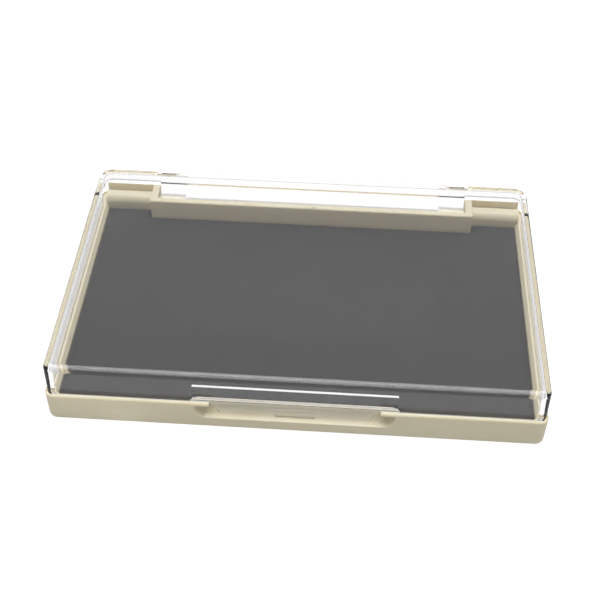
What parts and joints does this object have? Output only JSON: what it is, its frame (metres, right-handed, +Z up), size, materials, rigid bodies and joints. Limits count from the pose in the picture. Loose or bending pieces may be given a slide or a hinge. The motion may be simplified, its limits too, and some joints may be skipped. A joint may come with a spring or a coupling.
{
  "type": "stamp ink pad",
  "caption": "Black stamp ink pad: a cloth-covered pad in a cream plastic tray, under a clear hinged lid with a front thumb tab.",
  "frame": {"origin": "middle of the underside, on the surface that the tray stands on", "axes": "+X along the width, +Y from the thumb tab to the hinge, +Z up through the lid"},
  "size_m": [0.138, 0.088, 0.021],
  "materials": {
    "cream_plastic": "satin moulded ivory plastic",
    "clear_plastic": "polished clear styrene",
    "inked_cloth": "fine plain weave soaked in black ink",
    "felt": "inked felt",
    "foam": "inked open-cell foam",
    "backing_board": "plain sheet plastic",
    "adhesive": "double-sided tape"
  },
  "bodies": {
    "tray": {"base_tray": "cream_plastic", "hinge_pin_left": "cream_plastic", "hinge_pin_right": "cream_plastic", "ink_cloth": "inked_cloth", "felt_layer": "felt", "foam_core": "foam", "backing_plate": "backing_board", "adhesive_strips": "adhesive"},
    "lid": {"clear_lid": "clear_plastic"}
  },
  "joints": [
    {"name": "lid_hinge", "type": "hinge", "parent": "tray", "child": "lid", "pos_m": [0, 0.0396, 0.01], "axis": [-1, 0, 0], "range_deg": [0, 105]}
  ]
}
